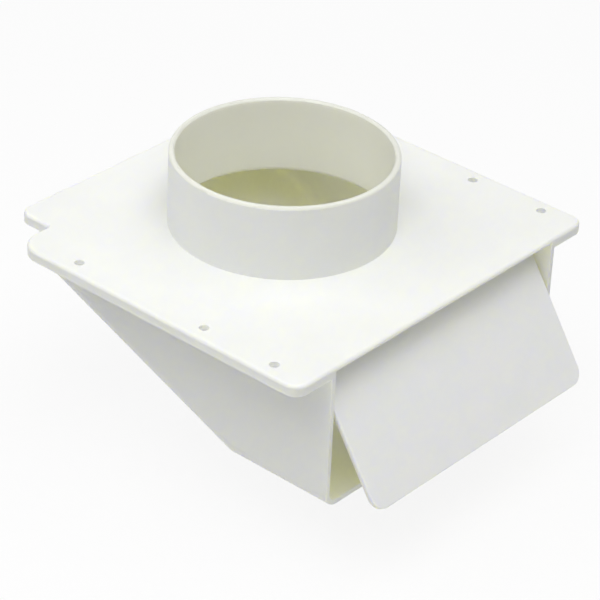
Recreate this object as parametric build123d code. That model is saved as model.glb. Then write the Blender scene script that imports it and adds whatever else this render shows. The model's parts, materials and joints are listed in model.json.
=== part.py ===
from build123d import *
from math import asin, atan2, degrees, hypot
import os

# Under eave vent for a round duct. The collar goes up into the eave, the plate's top lies
# against the soffit, and the hood under the plate throws the air forward past a hinged flap.
# Millimetres. The origin is on the collar's axis at the plate's top, +Z is up, +X is forward.

# Mounting plate
plate_length = 182.0
plate_width = 192.5
plate_thickness = 2.2
plate_corner_radius = 6.5
plate_edge_radius = 1.6
collar_setback = 3.5  # from the middle of the plate back to the collar's axis
lip_depth = 5.0  # turned-down rim, from the plate's top
lip_wall = 2.0
notch_length = 19.5  # taken out of each rear corner, up to the hood's side
notch_corner_radius = 12.0  # where the notch opens in the plate's side
notch_root_radius = 1.5

# Screw holes, in a row along each side
screw_hole_radius = 2.2
screw_inset = 7.5  # from the plate's side
screw_spread = 36.5  # the rear and middle screws, either side of the collar's axis
front_screw_inset = 19.0  # from the plate's front

# Duct collar
collar_radius = 50.6
collar_wall = 2.7
collar_height = 35.0
collar_rim_radius = 1.3
bore_rim_chamfer = 0.8

# Hood
hood_width = 149.0
hood_wall = 2.5
hood_depth = 70.5  # from the plate's top to the underside of the level floor
hood_floor_length = 56.0  # level part of the floor, from the front
hood_rear_depth = 23.0
hood_rear_inset = 7.0  # from the plate's rear edge
hood_bend_radius = 6.0  # inside, along the floor
hood_side_radius = 4.8  # inside, between floor and sides
mouth_edge_radius = 0.5

# Flap and its hinge
hinge_setback = 12.0  # from the plate's front
hinge_depth = 8.0  # from the plate's top
hinge_pin_radius = 2.0
hinge_pin_clearance = 0.06
hinge_pin_recess = 0.4  # from the hood's outer side
hinge_bead_radius = 2.8
hinge_bead_clearance = 0.3
flap_thickness = 2.4
flap_side_gap = 1.0
flap_lap = 3.7  # past the floor's front edge
flap_corner_radius = 7.0
flap_edge_radius = 0.5
flap_seat_clearance = 0.3
flap_opening = 20.9  # degrees, from shut to the pose it is drawn in

# Allowance
overrun = 1.0  # how far cutting and joined bodies run past the faces they meet

# Places that follow from the sizes
front = plate_length / 2 + collar_setback
rear = front - plate_length
half_plate = plate_width / 2
half_hood = hood_width / 2
half_mouth = half_hood - hood_wall
notch_side = half_hood + lip_wall
notch_end = rear + notch_length
collar_bore = collar_radius - collar_wall
floor_drop = hood_depth - hood_wall - hinge_depth
floor_reach = hypot(hinge_setback, floor_drop)
flap_seat = flap_thickness / 2 + flap_seat_clearance
hinge_place = Pos(front - hinge_setback, 0, -hinge_depth)
shut_lean = degrees(atan2(hinge_setback, floor_drop) + asin(flap_seat / floor_reach))


def corners_at(face, *points):
    """The corners of a flat face that lie at the given points."""
    return [face.vertices().sort_by_distance(point)[0] for point in points]


def plate_outline():
    """A rectangle with rounded corners, and a square notch in each rear corner beside the hood."""
    half = Polyline(
        (front, 0),
        (front, half_plate),
        (notch_end, half_plate),
        (notch_end, notch_side),
        (rear, notch_side),
        (rear, 0),
    )
    face = make_face(half + mirror(half, Plane.XZ))
    sides = (-1, 1)
    corners = [(front, side * half_plate) for side in sides]
    corners += [(rear, side * notch_side) for side in sides]
    lobes = [(notch_end, side * half_plate) for side in sides]
    roots = [(notch_end, side * notch_side) for side in sides]
    room = half_plate - notch_side - notch_root_radius
    face = fillet(corners_at(face, *corners), min(plate_corner_radius, notch_length - notch_root_radius))
    face = fillet(corners_at(face, *lobes), min(notch_corner_radius, room))
    return fillet(corners_at(face, *roots), notch_root_radius)


def mounting_plate():
    """The plate and its turned-down lip, which stops at the hood's sides to leave the mouth free."""
    outline = plate_outline()
    plate = extrude(outline - Circle(collar_radius), -plate_thickness)
    lip = extrude(outline - offset(outline, -lip_wall), -lip_depth)
    mouth = Box(2 * (lip_wall + overrun), hood_width - hood_wall, 2 * (lip_depth + overrun))
    body = plate + (lip - Pos(front, 0, 0) * mouth)
    top = body.faces().sort_by(Axis.Z)[-1]
    return fillet(top.outer_wire().edges(), plate_edge_radius)


def collar():
    """The duct collar, turned from its section: a rounded rim, and a bore that flares through the plate."""
    seat = collar_radius + overrun
    section = make_face(
        Polyline(
            (collar_bore, 0),
            (collar_bore + plate_thickness, -plate_thickness),
            (seat, -plate_thickness),
            (seat, 0),
            (collar_radius, 0),
            (collar_radius, collar_height),
            (collar_bore + bore_rim_chamfer, collar_height),
            (collar_bore, collar_height - bore_rim_chamfer),
            close=True,
        )
    )
    section = fillet(corners_at(section, (collar_radius, collar_height)), collar_rim_radius)
    return revolve(Plane.XZ * section, Axis.Z)


def hood():
    """A shell open to the plate and to the front, whose floor rises from a level part to the rear."""
    bend = (front - hood_floor_length, -hood_depth)
    heel = (rear + hood_rear_inset, -hood_rear_depth)
    top_rear = (rear + hood_rear_inset, -plate_thickness)
    profile = make_face(
        Polyline(top_rear, (front, -plate_thickness), (front, -hood_depth), bend, heel, close=True)
    )
    profile = fillet(corners_at(profile, bend, heel), hood_bend_radius + hood_wall)
    block = extrude(Plane.XZ * profile, half_hood, both=True)
    mouth = block.faces().sort_by(Axis.X)[-1]
    top = block.faces().sort_by(Axis.Z)[-1]
    side_edges = block.faces().filter_by(Axis.Y).edges() - mouth.edges() - top.edges()
    block = fillet(side_edges, hood_side_radius + hood_wall)
    mouth = block.faces().sort_by(Axis.X)[-1]
    top = block.faces().sort_by(Axis.Z)[-1]
    return offset(block, -hood_wall, openings=[mouth, top])


def screw_holes():
    """Two rows of three plain holes, one row along each side of the plate."""
    columns = (-screw_spread, screw_spread, front - front_screw_inset)
    rows = (screw_inset - half_plate, half_plate - screw_inset)
    hole = Cylinder(screw_hole_radius, 2 * (plate_thickness + overrun))
    return [Pos(x, y, 0) * hole for x in columns for y in rows]


def hinge_holes():
    """The holes in the hood's two sides that the flap's pins turn in."""
    hole = Cylinder(hinge_pin_radius + hinge_pin_clearance, hood_width + 2 * overrun)
    return hinge_place * Rot(90, 0, 0) * hole


def soften_mouth(body):
    """Eases the edges round the hood's mouth, inside and out, below the plate's lip."""
    end_face = body.faces().sort_by(Axis.X)[-1]
    lowest_lip = -lip_depth - mouth_edge_radius
    outer = end_face.outer_wire().edges().filter_by_position(Axis.Z, -hood_depth, lowest_lip)
    inner = end_face.inner_wires()[0].edges()
    return fillet(outer + inner, mouth_edge_radius)


def housing():
    """The one-piece moulding: plate, collar and hood."""
    body = mounting_plate() + hood() + collar()
    return soften_mouth(body) - screw_holes() - hinge_holes()


def damper_flap():
    """The flap, hung on its hinge: a blade with a bead along its top and a pin at each end."""
    half_flap = half_mouth - flap_side_gap
    tip = -floor_reach - flap_lap
    outline = make_face(
        Polyline((-half_flap, 0), (half_flap, 0), (half_flap, tip), (-half_flap, tip), close=True)
    )
    outline = fillet(corners_at(outline, (half_flap, tip), (-half_flap, tip)), flap_corner_radius)
    blade = extrude(Plane.YZ * outline, flap_thickness / 2, both=True)
    blade = fillet(blade.edges(), flap_edge_radius)
    bead = Cylinder(hinge_bead_radius, 2 * (half_mouth - hinge_bead_clearance))
    pins = Cylinder(hinge_pin_radius, 2 * (half_hood - hinge_pin_recess))
    hanging = blade + Rot(90, 0, 0) * (bead + pins)
    return hinge_place * Rot(0, -shut_lean - flap_opening, 0) * hanging


os.makedirs("parts", exist_ok=True)
export_step(housing(), "parts/housing.step")
export_step(damper_flap(), "parts/damper_flap.step")
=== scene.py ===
import json
from math import cos, hypot, radians, sin

import bpy
from mathutils import Matrix, Vector


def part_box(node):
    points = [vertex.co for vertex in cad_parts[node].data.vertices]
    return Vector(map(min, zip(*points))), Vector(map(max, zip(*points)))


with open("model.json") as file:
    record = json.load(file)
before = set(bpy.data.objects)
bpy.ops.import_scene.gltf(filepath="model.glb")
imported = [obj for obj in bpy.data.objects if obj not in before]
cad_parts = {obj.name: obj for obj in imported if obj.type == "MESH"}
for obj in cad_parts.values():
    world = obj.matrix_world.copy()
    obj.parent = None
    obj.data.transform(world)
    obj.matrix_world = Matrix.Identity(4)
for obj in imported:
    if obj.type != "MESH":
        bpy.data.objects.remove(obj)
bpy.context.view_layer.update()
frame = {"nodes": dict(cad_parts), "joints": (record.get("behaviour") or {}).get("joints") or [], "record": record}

# The photograph's view: degrees and metres, from the collar's axis at the plate's top
view_azimuth = 40.234
view_elevation = 31.758
view_roll = 2.656
view_distance = 1.2
view_sideways = 0.0078
view_rise = -0.0352
lens_mm = 163.67
sensor_mm = 36.0

# Floor and light
white = (1, 1, 1, 1)
floor_clearance = 0.03  # below the lowest point that the swinging flap reaches
floor_size = 12.0
floor_colour = (0.92, 0.92, 0.92, 1)
floor_glow = 0.88  # share of plain white in the floor where it is seen
world_light = 0.13
soft_box_size = 1.2
left_box = (-0.76, -0.65, 1.0)
left_power = 6.7
front_box = (0.47, -0.54, 1.36)
front_power = 13.5
right_box = (0.35, 0.58, 1.4)
right_power = 7.6

# Colours of the plastic: white outside. The warmer, brighter colours inside the hood and the bore are a painted
# tint of the warm light that comes through the thin walls and bounces inside, and the rim's colour is a painted
# darker, warmer shade
housing_colour = (0.902, 0.914, 0.89, 1)
flap_colour = (0.915, 0.935, 0.93, 1)
hood_painted_light_tint = (0.977, 0.975, 0.805, 1)
# painted tint: the bore's warmer, greener colour stands in for the warm light that comes through its wall and
# bounces inside
bore_painted_light_tint = (0.982, 0.995, 0.83, 1)
# painted shade: the collar's thin rim is given a darker, warmer colour for the dimmer light on it
rim_painted_warm_shade = (0.84, 0.855, 0.735, 1)

# How far red, green and blue light spread under the surface, as multiples of the skin's depth in metres
skin_depth = 0.001
outside_spread = (1.0, 1.0, 0.6, 1)
hood_spread = (13.5, 13.5, 4.4, 1)
bore_spread = (6.0, 6.0, 5.0, 1)
rim_spread = (6.0, 6.0, 6.0, 1)

# Unevenness of the surface: grains are spots per metre, heights are metres
mottle_shade = (0.985, 0.985, 0.98, 1)
mottle_grain = 45.0
mottle_detail = 4.0
mottle_noise = (0.35, 0.65)  # the part of the noise that goes from clear to shaded
roughness_range = (0.4, 0.52)
roughness_grain = 160.0
roughness_noise = (0.3, 0.7)  # the part of the noise that goes from smooth to rough
texture_grain = 1400.0
texture_height = 0.000012
wave_grain = 22.0
wave_height = 0.00012

# Shape of the walls, in metres, which tells the inside from the outside
wall = 0.0025
hood_side = 0.0745  # half the hood's width
hood_bend = Vector((0.0385, 0, -0.0705))  # where the level floor begins to rise
hood_heel = Vector((-0.0805, 0, -0.023))  # where the rising floor meets the rear wall
hood_corner = 0.006  # radius of the hood's lower edges at the middle of the wall
plate_middle = -0.0011
rim_depth = 0.0011  # how far down the rim's painted darker shade reaches
edge_blend = 0.0003  # half the width of the change from one colour to the next


def link(tree, source, target):
    """Joins an output socket to an input socket."""
    tree.links.new(source, target)


def put(tree, value, socket):
    """Gives an input socket a value, or joins another socket to it."""
    if isinstance(value, bpy.types.NodeSocket):
        link(tree, value, socket)
    else:
        socket.default_value = value


def add(tree, kind, settings=None, **inputs):
    """A new node: settings are its own properties, inputs are values or sockets by input name."""
    node = tree.nodes.new(kind)
    for key, value in (settings or {}).items():
        setattr(node, key, value)
    for key, value in inputs.items():
        put(tree, value, node.inputs[key])
    return node


def arithmetic(tree, operation, *values):
    """One sum of sockets or numbers."""
    node = add(tree, "ShaderNodeMath", {"operation": operation})
    for value, socket in zip(values, node.inputs):
        put(tree, value, socket)
    return node.outputs[0]


def chained(tree, operation, *values):
    """The same sum taken over several values, such as the least of them."""
    result = values[0]
    for value in values[1:]:
        result = arithmetic(tree, operation, result, value)
    return result


def distance(tree, place, through, inward):
    """How far a place lies on the inner side of a plane through a point."""
    along = add(tree, "ShaderNodeVectorMath", {"operation": "DOT_PRODUCT"})
    put(tree, place, along.inputs[0])
    put(tree, tuple(inward), along.inputs[1])
    return arithmetic(tree, "SUBTRACT", along.outputs["Value"], Vector(through).dot(inward))


def length(tree, vector):
    """How long a vector is."""
    node = add(tree, "ShaderNodeVectorMath", {"operation": "LENGTH"})
    put(tree, vector, node.inputs[0])
    return node.outputs["Value"]


def rounded(tree, radius, *depths):
    """How far inside a hollow with rounded corners, from how far inside each of its walls."""
    corner = add(tree, "ShaderNodeCombineXYZ")
    for depth, socket in zip(depths, corner.inputs):
        short = arithmetic(tree, "SUBTRACT", radius, depth)
        put(tree, arithmetic(tree, "MAXIMUM", short, 0.0), socket)
    return arithmetic(tree, "SUBTRACT", radius, length(tree, corner.outputs[0]))


def stretch(tree, value, start, end, low=0.0, high=1.0):
    """A value between start and end, brought to the range from low to high."""
    node = add(tree, "ShaderNodeMapRange", Value=value)
    for name, number in (("From Min", start), ("From Max", end), ("To Min", low), ("To Max", high)):
        node.inputs[name].default_value = number
    return node.outputs["Result"]


def mixed(tree, share, first, second, blend="MIX"):
    """A colour between two colours, or the first one blended with the second."""
    node = add(tree, "ShaderNodeMix", {"data_type": "RGBA", "blend_type": blend})
    put(tree, share, node.inputs["Factor"])
    ends = [socket for socket in node.inputs if socket.type == "RGBA"]
    put(tree, first, ends[0])
    put(tree, second, ends[1])
    return next(socket for socket in node.outputs if socket.type == "RGBA")


def noise(tree, place, scale, detail=2.0):
    """Soft random spots, so many per metre."""
    node = add(tree, "ShaderNodeTexNoise", Vector=place, Scale=scale, Detail=detail)
    return node.outputs["Fac"]


def seen_directly(tree):
    """One for camera, glossy and transmission rays, and nothing for the rays that carry light."""
    path = add(tree, "ShaderNodeLightPath")
    rays = [path.outputs[f"Is {kind} Ray"] for kind in ("Camera", "Glossy", "Transmission")]
    return chained(tree, "MAXIMUM", *rays)


def mixed_shaders(tree, share, first, second):
    """The first shader, with a share of the second."""
    mix = add(tree, "ShaderNodeMixShader", Fac=share)
    link(tree, first.outputs[0], mix.inputs[1])
    link(tree, second.outputs[0], mix.inputs[2])
    return mix.outputs[0]


def make_camera():
    """The camera at the photograph's viewpoint, with its slight roll."""
    azimuth, elevation, roll = (radians(angle) for angle in (view_azimuth, view_elevation, view_roll))
    right = Vector((cos(azimuth), sin(azimuth), 0))
    back = Vector((sin(azimuth) * cos(elevation), -cos(azimuth) * cos(elevation), sin(elevation)))
    up = back.cross(right)
    across = right * cos(roll) + up * sin(roll)
    upward = up * cos(roll) - right * sin(roll)
    place = across * view_sideways + upward * view_rise + back * view_distance
    data = bpy.data.cameras.new("camera")
    data.lens = lens_mm
    data.sensor_width = sensor_mm
    data.clip_end = floor_size * 2
    camera = bpy.data.objects.new("camera", data)
    turn = Matrix((across, upward, back)).transposed().to_4x4()
    camera.matrix_world = Matrix.Translation(place) @ turn
    bpy.context.scene.collection.objects.link(camera)
    bpy.context.scene.camera = camera


def make_lamp(name, place, power):
    """A square soft box at a place, turned to the object."""
    data = bpy.data.lights.new(name, "AREA")
    data.shape = "SQUARE"
    data.size = soft_box_size
    data.energy = power
    lamp = bpy.data.objects.new(name, data)
    lamp.location = place
    lamp.rotation_euler = (-Vector(place)).to_track_quat("-Z", "Y").to_euler()
    bpy.context.scene.collection.objects.link(lamp)


def make_world():
    """A soft even sky that lights the object, and plain white where it is seen."""
    world = bpy.data.worlds.new("studio")
    world.use_nodes = True
    tree = world.node_tree
    tree.nodes.clear()
    sky = add(tree, "ShaderNodeBackground", Color=white, Strength=world_light)
    backdrop = add(tree, "ShaderNodeBackground", Color=white, Strength=1.0)
    add(tree, "ShaderNodeOutputWorld", Surface=mixed_shaders(tree, seen_directly(tree), sky, backdrop))
    bpy.context.scene.world = world


def floor_material():
    """Pale matt paint, mostly plain white where it is seen, so that it keeps a soft shadow."""
    material = bpy.data.materials.new("floor")
    material.use_nodes = True
    tree = material.node_tree
    tree.nodes.clear()
    matt = add(tree, "ShaderNodeBsdfDiffuse", Color=floor_colour)
    glow = add(tree, "ShaderNodeEmission", Color=white, Strength=1.0)
    share = arithmetic(tree, "MULTIPLY", seen_directly(tree), floor_glow)
    add(tree, "ShaderNodeOutputMaterial", Surface=mixed_shaders(tree, share, matt, glow))
    return material


def flap_lowest():
    """How low the flap's tip comes when it hangs straight down from its hinge."""
    hinge = Vector(frame["joints"][0]["pos_m"])
    points = [vertex.co - hinge for vertex in frame["nodes"]["damper_flap"].data.vertices]
    return hinge.z - max(hypot(point.x, point.z) for point in points)


def make_floor():
    """A plain pale floor below the object, clear of the swinging flap."""
    reach = floor_size / 2
    lowest = flap_lowest() - floor_clearance
    quarters = ((-1, -1), (1, -1), (1, 1), (-1, 1))
    mesh = bpy.data.meshes.new("floor")
    mesh.from_pydata([(x * reach, y * reach, lowest) for x, y in quarters], [], [(0, 1, 2, 3)])
    mesh.materials.append(floor_material())
    floor = bpy.data.objects.new("floor", mesh)
    bpy.context.scene.collection.objects.link(floor)


def hood_depth_inside(tree, place):
    """How far a place lies within the hood's hollow, counted from the middle of its walls."""
    half = wall / 2
    slope = hood_bend - hood_heel
    rise = Vector((-slope.z, 0, slope.x)).normalized()
    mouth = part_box("housing")[1][0]
    near_side = distance(tree, place, (0, half - hood_side, 0), (0, 1, 0))
    far_side = distance(tree, place, (0, hood_side - half, 0), (0, -1, 0))
    level_floor = distance(tree, place, (0, 0, hood_bend.z + half), (0, 0, 1))
    rising_floor = distance(tree, place, hood_bend + rise * half, rise)
    rear = distance(tree, place, (hood_heel.x + half, 0, 0), (1, 0, 0))
    front = distance(tree, place, (mouth - edge_blend, 0, 0), (-1, 0, 0))
    top = distance(tree, place, (0, 0, plate_middle), (0, 0, -1))
    sides = arithmetic(tree, "MINIMUM", near_side, far_side)
    floor = arithmetic(tree, "MINIMUM", level_floor, rising_floor)
    return chained(tree, "MINIMUM", rounded(tree, hood_corner, sides, floor, rear), front, top)


def bore_depth_inside(tree, place):
    """How far a place lies within the collar's bore, counted from the middle of its wall."""
    across = add(tree, "ShaderNodeVectorMath", {"operation": "MULTIPLY"})
    put(tree, place, across.inputs[0])
    put(tree, (1, 1, 0), across.inputs[1])
    mounts = {mount["name"]: mount for mount in frame["record"]["mounts"]}
    bore, collar = (mounts[name]["dims"]["r_mm"] / 1000 for name in ("duct_bore", "duct_collar"))
    side = arithmetic(tree, "SUBTRACT", (bore + collar) / 2, length(tree, across.outputs[0]))
    end = distance(tree, place, (0, 0, plate_middle - wall), (0, 0, 1))
    return arithmetic(tree, "MINIMUM", side, end)


def collar_rim(tree, place):
    """How far up a place lies in the collar's thin rim, which gets a painted darker, warmer shade."""
    return distance(tree, place, (0, 0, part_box("housing")[1][2] - rim_depth), (0, 0, 1))


def flap_inside(tree, place):
    """How far a place lies behind the middle of the flap's blade, between the hood's sides."""
    hinge = Vector(frame["joints"][0]["pos_m"])
    low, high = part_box("damper_flap")
    blade = Vector((high[0] - hinge.x, 0, low[2] - hinge.z))
    inward = Vector((blade.z, 0, -blade.x)).normalized()
    back = distance(tree, place, hinge, inward)
    near_side = distance(tree, place, (0, wall - hood_side, 0), (0, 1, 0))
    far_side = distance(tree, place, (0, hood_side - wall, 0), (0, -1, 0))
    return chained(tree, "MINIMUM", back, near_side, far_side)


def layered(tree, place, colour, spread, layers):
    """A colour and a light spread, each changed to a layer's own where a place lies inside that layer."""
    for depth, layer_colour, layer_spread in layers:
        share = stretch(tree, depth(tree, place), -edge_blend, edge_blend)
        colour = mixed(tree, share, colour, layer_colour)
        spread = mixed(tree, share, spread, layer_spread)
    return colour, spread


def uneven_normal(tree, place):
    """The surface's direction, with a fine grain over a faint waviness."""
    wave = add(tree, "ShaderNodeBump", Height=noise(tree, place, wave_grain), Distance=wave_height)
    grain = add(tree, "ShaderNodeBump", Height=noise(tree, place, texture_grain), Distance=texture_height)
    link(tree, wave.outputs[0], grain.inputs["Normal"])
    return grain.outputs[0]


def moulded_plastic(name, outside_colour, *layers):
    """White moulded plastic, a little uneven, with layers in some places that paint a tint of light and shade into
    the colour and change how far light spreads.
    """
    material = bpy.data.materials.new(name)
    material.use_nodes = True
    tree = material.node_tree
    place = add(tree, "ShaderNodeTexCoord").outputs["Object"]
    colour, spread = layered(tree, place, outside_colour, outside_spread, layers)
    spots = stretch(tree, noise(tree, place, mottle_grain, mottle_detail), *mottle_noise)
    gloss = stretch(tree, noise(tree, place, roughness_grain), *roughness_noise, *roughness_range)
    shader = tree.nodes["Principled BSDF"]
    link(tree, mixed(tree, spots, colour, mottle_shade, "MULTIPLY"), shader.inputs["Base Color"])
    link(tree, gloss, shader.inputs["Roughness"])
    link(tree, uneven_normal(tree, place), shader.inputs["Normal"])
    link(tree, spread, shader.inputs["Subsurface Radius"])
    shader.inputs["Subsurface Scale"].default_value = skin_depth
    shader.inputs["Subsurface Weight"].default_value = 1.0
    return material


def dress(node, material):
    """Gives a CAD node its material."""
    for slot in frame["nodes"][node].material_slots:
        slot.material = material


# These layers paint light into the colour: a warm tint of the light inside the hood, the bore and behind the flap,
# and a darker, warmer painted shade on the collar's rim; they also change how far light spreads
hood_layer = (hood_depth_inside, hood_painted_light_tint, hood_spread)
bore_layer = (bore_depth_inside, bore_painted_light_tint, bore_spread)
rim_layer = (collar_rim, rim_painted_warm_shade, rim_spread)
flap_layer = (flap_inside, hood_painted_light_tint, hood_spread)
dress("housing", moulded_plastic("housing_plastic", housing_colour, hood_layer, bore_layer, rim_layer))
dress("damper_flap", moulded_plastic("flap_plastic", flap_colour, flap_layer))
make_floor()
make_world()
make_lamp("left box", left_box, left_power)
make_lamp("front box", front_box, front_power)
make_lamp("right box", right_box, right_power)
make_camera()
bpy.context.scene.view_settings.view_transform = "Standard"
